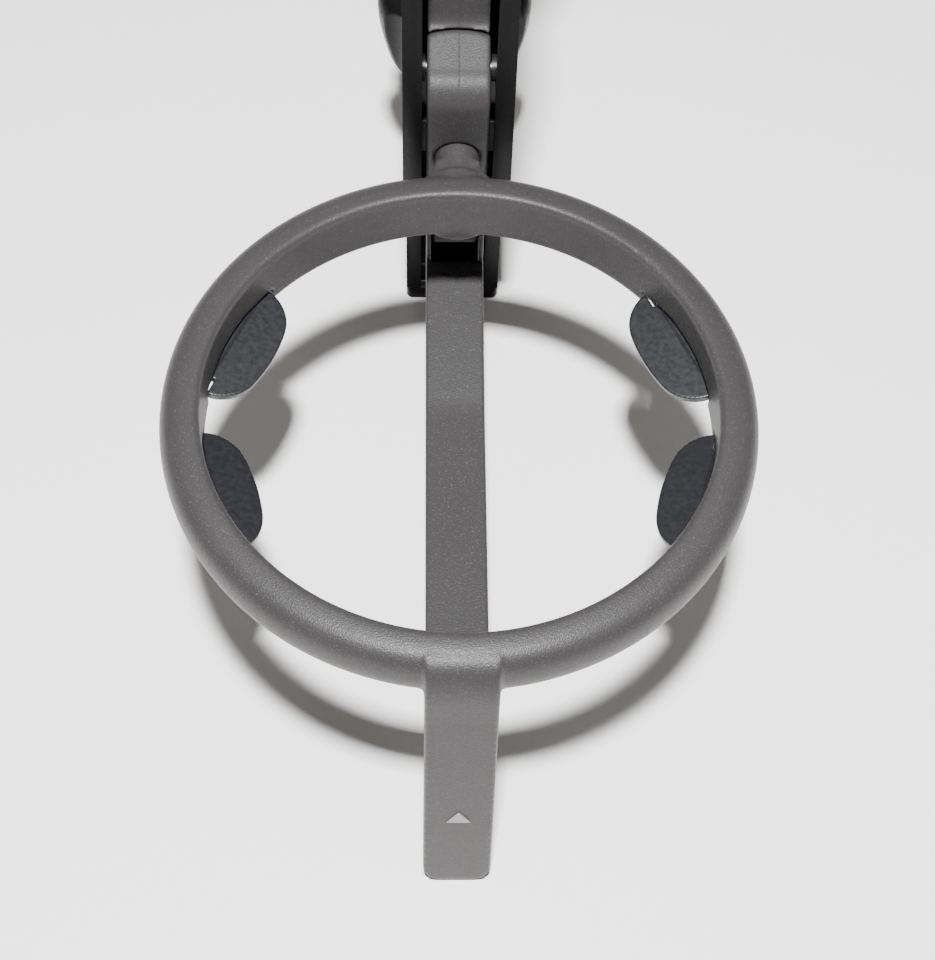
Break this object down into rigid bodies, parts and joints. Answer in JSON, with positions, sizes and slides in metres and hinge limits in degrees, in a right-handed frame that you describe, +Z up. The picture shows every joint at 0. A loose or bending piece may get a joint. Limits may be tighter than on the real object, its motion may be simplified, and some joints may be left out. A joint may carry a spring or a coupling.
{
  "type": "clamp-on cup holder",
  "caption": "Desk clamp cup holder: open grip ring with sprung flaps and a finger tab, folding support arm, black channel rail and a screw clamp with a lobed knob.",
  "frame": {"origin": "centre of the cup ring, on the plane of its top rim", "axes": "+Z up out of the ring, +Y from the cup towards the desk edge, +X to the right; the holder is symmetric left to right"},
  "size_m": [0.0951, 0.1783, 0.1564],
  "materials": {
    "rail_housing": "satin black moulded polymer",
    "rail_foot_cap": "satin black moulded polymer",
    "fold_pin": "plain steel pin",
    "fold_washers": "acetal spacer",
    "arm_stop": "moulded rubber",
    "cover_strip": "fine-grained grey polymer",
    "upper_jaw": "black powder coat",
    "upper_jaw_pad": "ribbed rubber",
    "lower_jaw": "black powder coat",
    "threaded_insert": "turned brass",
    "jaw_bolts": "zinc plated",
    "jaw_nuts": "zinc plated",
    "top_bolts": "zinc plated",
    "upper_arm": "fine-grained grey polymer",
    "arm_back_plate": "grey polymer",
    "swivel_bush": "natural acetal",
    "support_pin": "plain steel pin",
    "ring": "fine-grained grey polymer",
    "tab_pointer": "light grey inlay",
    "spigot_washer": "spring steel",
    "spigot_clip": "spring steel",
    "flap_pins": "steel wire",
    "flap_springs": "spring wire",
    "support_arm": "coarser-grained grey polymer",
    "swivel_pad": "black oxide steel",
    "pad_rubber": "moulded rubber",
    "clamp_screw": "zinc plated thread",
    "knob": "dark grey textured polymer",
    "knob_cap": "grey polymer",
    "flap_back_right": "smooth satin elastomer",
    "flap_front_right": "smooth satin elastomer",
    "flap_back_left": "smooth satin elastomer",
    "flap_front_left": "smooth satin elastomer"
  },
  "bodies": {
    "rail": {"rail_housing": "rail_housing", "rail_foot_cap": "rail_foot_cap", "fold_pin": "fold_pin", "fold_washers": "fold_washers", "arm_stop": "arm_stop", "cover_strip": "cover_strip", "upper_jaw": "upper_jaw", "upper_jaw_pad": "upper_jaw_pad", "lower_jaw": "lower_jaw", "threaded_insert": "threaded_insert", "jaw_bolts": "jaw_bolts", "jaw_nuts": "jaw_nuts", "top_bolts": "top_bolts"},
    "arm": {"upper_arm": "upper_arm", "arm_back_plate": "arm_back_plate", "swivel_bush": "swivel_bush", "support_pin": "support_pin"},
    "cup_ring": {"ring": "ring", "tab_pointer": "tab_pointer", "spigot_washer": "spigot_washer", "spigot_clip": "spigot_clip", "flap_pins": "flap_pins", "flap_springs": "flap_springs"},
    "support": {"support_arm": "support_arm"},
    "pad": {"swivel_pad": "swivel_pad", "pad_rubber": "pad_rubber"},
    "screw": {"clamp_screw": "clamp_screw", "knob": "knob", "knob_cap": "knob_cap"},
    "flap_back_right": {"flap_back_right": "flap_back_right"},
    "flap_front_right": {"flap_front_right": "flap_front_right"},
    "flap_back_left": {"flap_back_left": "flap_back_left"},
    "flap_front_left": {"flap_front_left": "flap_front_left"}
  },
  "joints": [
    {"name": "arm_fold", "type": "hinge", "parent": "rail", "child": "arm", "pos_m": [0, 0.062, 0.0085], "axis": [-1, 0, 0], "range_deg": [0, 90]},
    {"name": "ring_swivel", "type": "hinge", "parent": "arm", "child": "cup_ring", "pos_m": [0, 0.048, -0.0061], "axis": [0, 1, 0], "range_deg": [-12, 12]},
    {"name": "support_fold", "type": "hinge", "parent": "arm", "child": "support", "pos_m": [0, 0.057, -0.027], "axis": [-1, 0, 0], "range_deg": [0, 12]},
    {"name": "pad_slide", "type": "slide", "parent": "rail", "child": "pad", "axis": [0, 0, 1], "range_m": [0, 0.036]},
    {"name": "screw_turn", "type": "hinge", "parent": "pad", "child": "screw", "pos_m": [0, 0.0985, 0], "axis": [0, 0, 1], "range_deg": [0, 6480]},
    {"name": "flap_back_right_hinge", "type": "hinge", "parent": "cup_ring", "child": "flap_back_right", "pos_m": [0.03752, 0.01702, -0.0086], "axis": [0.4131, -0.9107, 0], "range_deg": [0, 30], "stiffness_Nm_per_rad": 0.01, "springref_deg": -11.46},
    {"name": "flap_front_right_hinge", "type": "hinge", "parent": "cup_ring", "child": "flap_front_right", "pos_m": [0.03923, -0.0126, -0.0086], "axis": [-0.3057, -0.9521, 0], "range_deg": [0, 30], "stiffness_Nm_per_rad": 0.01, "springref_deg": -11.46},
    {"name": "flap_back_left_hinge", "type": "hinge", "parent": "cup_ring", "child": "flap_back_left", "pos_m": [-0.03752, 0.01702, -0.0086], "axis": [0.4131, 0.9107, 0], "range_deg": [0, 30], "stiffness_Nm_per_rad": 0.01, "springref_deg": -11.46},
    {"name": "flap_front_left_hinge", "type": "hinge", "parent": "cup_ring", "child": "flap_front_left", "pos_m": [-0.03923, -0.0126, -0.0086], "axis": [-0.3057, 0.9521, 0], "range_deg": [0, 30], "stiffness_Nm_per_rad": 0.01, "springref_deg": -11.46}
  ],
  "couplings": [
    {"joint": "screw_turn", "follows": "pad_slide", "rad_per_m": 3141.6}
  ]
}
